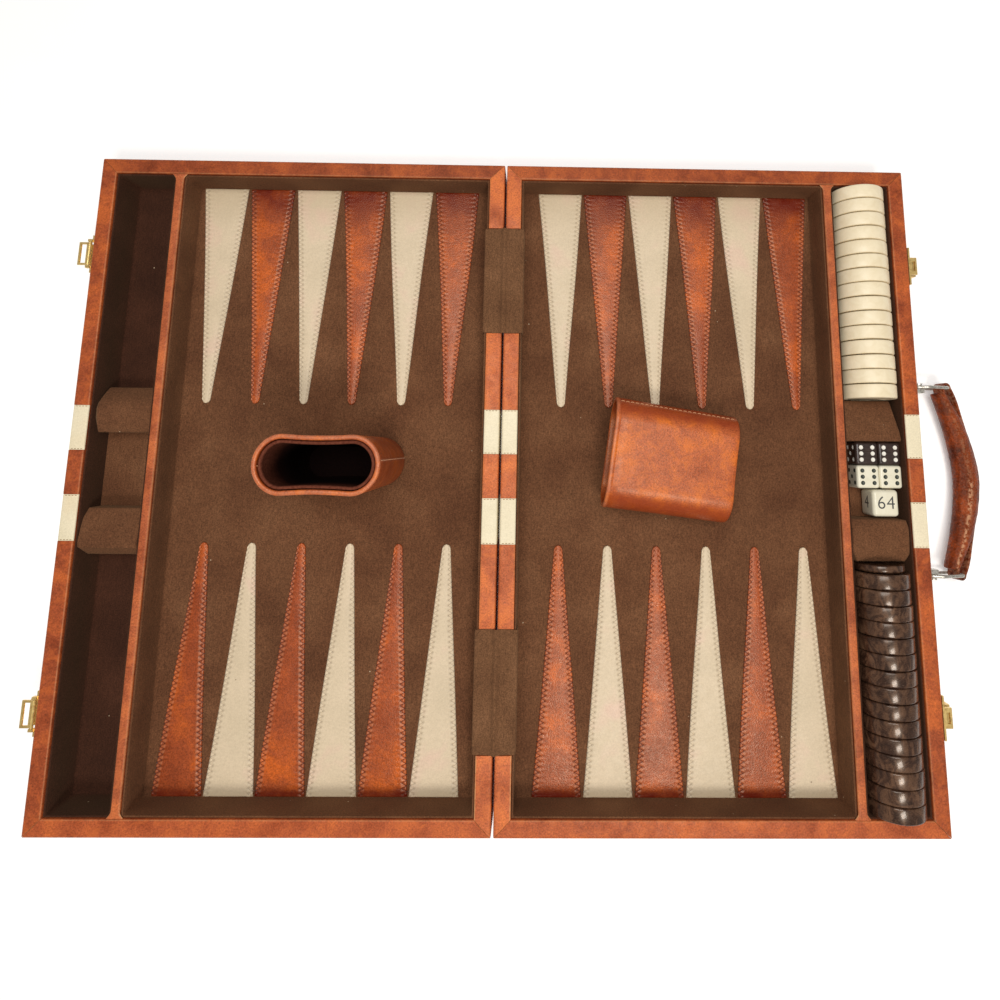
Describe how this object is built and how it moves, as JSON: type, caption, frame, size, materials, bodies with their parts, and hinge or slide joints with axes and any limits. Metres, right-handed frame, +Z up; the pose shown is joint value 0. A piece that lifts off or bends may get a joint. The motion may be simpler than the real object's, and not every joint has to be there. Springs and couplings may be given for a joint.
{
  "type": "backgammon set",
  "caption": "Leather-covered backgammon attache case laid open: felt playing fields with tapered points, checkers on edge in the tray, dice, doubling cube, dice cups, handle and hasps.",
  "frame": {"origin": "centre of the open set's box, on the surface it lies on", "axes": "+X from the empty half to the half with the checkers and handle, +Y along the fold to the far side, +Z up"},
  "size_m": [0.6629, 0.457, 0.0963],
  "materials": {
    "case_leatherette": "mottled cognac grain, semi-matt",
    "stripe_leather": "cream, smooth, semi-matt",
    "brown_felt": "short brown nap",
    "point_leather_cream": "cream, smooth, semi-matt",
    "point_leather_cognac": "cognac, mottled, semi-matt",
    "nickel": "bright nickel",
    "brass": "polished",
    "handle_leather": "burnished brown, semi-gloss",
    "cup_leather": "mottled cognac grain",
    "cup_lining": "dark brown ribbed lining",
    "dark_dice": "near black, glossy",
    "light_dice": "ivory, glossy",
    "light_checkers": "ivory, satin gloss",
    "dark_checkers": "marbled dark brown, glossy"
  },
  "bodies": {
    "right_half": {"right_base": "case_leatherette", "right_dice_well": "brown_felt", "right_divider": "case_leatherette", "right_field_lining": "brown_felt", "right_points_far": "point_leather_cream", "right_points_near": "point_leather_cognac", "right_rail_far": "case_leatherette", "right_rail_inner": "case_leatherette", "right_rail_near": "case_leatherette", "right_rail_outer": "case_leatherette", "right_stripe_far": "stripe_leather", "right_stripe_near": "stripe_leather", "right_tray_lining": "brown_felt", "hinge_far_leaf_right": "nickel", "hinge_near_leaf_right": "nickel", "band_far": "brown_felt", "band_near": "brown_felt", "staple_far": "brass", "staple_near": "brass", "handle_post_far": "nickel", "handle_post_near": "nickel"},
    "left_half": {"left_base": "case_leatherette", "left_dice_well": "brown_felt", "left_divider": "case_leatherette", "left_field_lining": "brown_felt", "left_points_far": "point_leather_cream", "left_points_near": "point_leather_cognac", "left_rail_far": "case_leatherette", "left_rail_inner": "case_leatherette", "left_rail_near": "case_leatherette", "left_rail_outer": "case_leatherette", "left_stripe_far": "stripe_leather", "left_stripe_near": "stripe_leather", "left_tray_lining": "brown_felt", "hinge_far_leaf_left": "nickel", "hinge_near_leaf_left": "nickel", "hasp_far_plate": "brass", "hasp_near_plate": "brass"},
    "handle": {"handle_ring_far": "nickel", "handle_ring_near": "nickel", "handle_grip": "handle_leather"},
    "hasp_far": {"hasp_far_loop": "brass"},
    "hasp_near": {"hasp_near_loop": "brass"},
    "cup_standing": {"cup_standing_shell": "cup_leather", "cup_standing_liner": "cup_lining"},
    "cup_lying": {"cup_lying_shell": "cup_leather", "cup_lying_liner": "cup_lining"},
    "die_dark_1": {"die_dark_1": "dark_dice"},
    "die_dark_2": {"die_dark_2": "dark_dice"},
    "die_light_1": {"die_light_1": "light_dice"},
    "die_light_2": {"die_light_2": "light_dice"},
    "doubling_cube": {"doubling_cube": "light_dice"},
    "checkers_light_a": {"checkers_light_a": "light_checkers"},
    "checkers_light_b": {"checkers_light_b": "light_checkers"},
    "checkers_light_c": {"checkers_light_c": "light_checkers"},
    "checkers_dark_a": {"checkers_dark_a": "dark_checkers"},
    "checkers_dark_b": {"checkers_dark_b": "dark_checkers"},
    "checkers_dark_c": {"checkers_dark_c": "dark_checkers"},
    "spacer_dark": {"spacer_dark": "dark_checkers"}
  },
  "joints": [
    {"name": "case_fold", "type": "hinge", "parent": "right_half", "child": "left_half", "pos_m": [-0.01956, 0, 0.034], "axis": [0, 1, 0], "range_deg": [0, 180], "deforming": ["band_far", "band_near"]},
    {"name": "handle_swing", "type": "hinge", "parent": "right_half", "child": "handle", "pos_m": [0.28944, 0, 0.017], "axis": [0, 1, 0], "range_deg": [-95, 45]},
    {"name": "hasp_far_swing", "type": "hinge", "parent": "left_half", "child": "hasp_far", "pos_m": [-0.32106, 0.1555, 0.0326], "axis": [0, 1, 0], "range_deg": [0, 90]},
    {"name": "hasp_near_swing", "type": "hinge", "parent": "left_half", "child": "hasp_near", "pos_m": [-0.32106, -0.1555, 0.0326], "axis": [0, 1, 0], "range_deg": [0, 90]},
    {"name": "cup_standing_put_away", "type": "hinge", "parent": "left_half", "child": "cup_standing", "pos_m": [-0.12716, -0.0545, -0.0341], "axis": [1, 0, 0], "range_deg": [0, 90]},
    {"name": "cup_lying_lift", "type": "slide", "parent": "right_half", "child": "cup_lying", "axis": [0, 0, -1], "range_m": [-0.06, 0]},
    {"name": "die_dark_1_lift", "type": "slide", "parent": "right_half", "child": "die_dark_1", "axis": [0, 0, -1], "range_m": [-0.04, 0]},
    {"name": "die_dark_2_lift", "type": "slide", "parent": "right_half", "child": "die_dark_2", "axis": [0, 0, -1], "range_m": [-0.04, 0]},
    {"name": "die_light_1_lift", "type": "slide", "parent": "right_half", "child": "die_light_1", "axis": [0, 0, -1], "range_m": [-0.04, 0]},
    {"name": "die_light_2_lift", "type": "slide", "parent": "right_half", "child": "die_light_2", "axis": [0, 0, -1], "range_m": [-0.04, 0]},
    {"name": "doubling_cube_lift", "type": "slide", "parent": "right_half", "child": "doubling_cube", "axis": [0, 0, -1], "range_m": [-0.04, 0]},
    {"name": "checkers_light_a_lift", "type": "slide", "parent": "right_half", "child": "checkers_light_a", "axis": [0, 0, -1], "range_m": [-0.045, 0]},
    {"name": "checkers_light_b_lift", "type": "slide", "parent": "right_half", "child": "checkers_light_b", "axis": [0, 0, -1], "range_m": [-0.045, 0]},
    {"name": "checkers_light_c_lift", "type": "slide", "parent": "right_half", "child": "checkers_light_c", "axis": [0, 0, -1], "range_m": [-0.045, 0]},
    {"name": "checkers_dark_a_lift", "type": "slide", "parent": "right_half", "child": "checkers_dark_a", "axis": [0, 0, -1], "range_m": [-0.045, 0]},
    {"name": "checkers_dark_b_lift", "type": "slide", "parent": "right_half", "child": "checkers_dark_b", "axis": [0, 0, -1], "range_m": [-0.045, 0]},
    {"name": "checkers_dark_c_lift", "type": "slide", "parent": "right_half", "child": "checkers_dark_c", "axis": [0, 0, -1], "range_m": [-0.045, 0]},
    {"name": "spacer_dark_lift", "type": "slide", "parent": "right_half", "child": "spacer_dark", "axis": [0, 0, -1], "range_m": [-0.045, 0]}
  ],
  "couplings": [
    {"joint": "cup_standing_put_away", "follows": "case_fold", "ratio": 0.5}
  ]
}
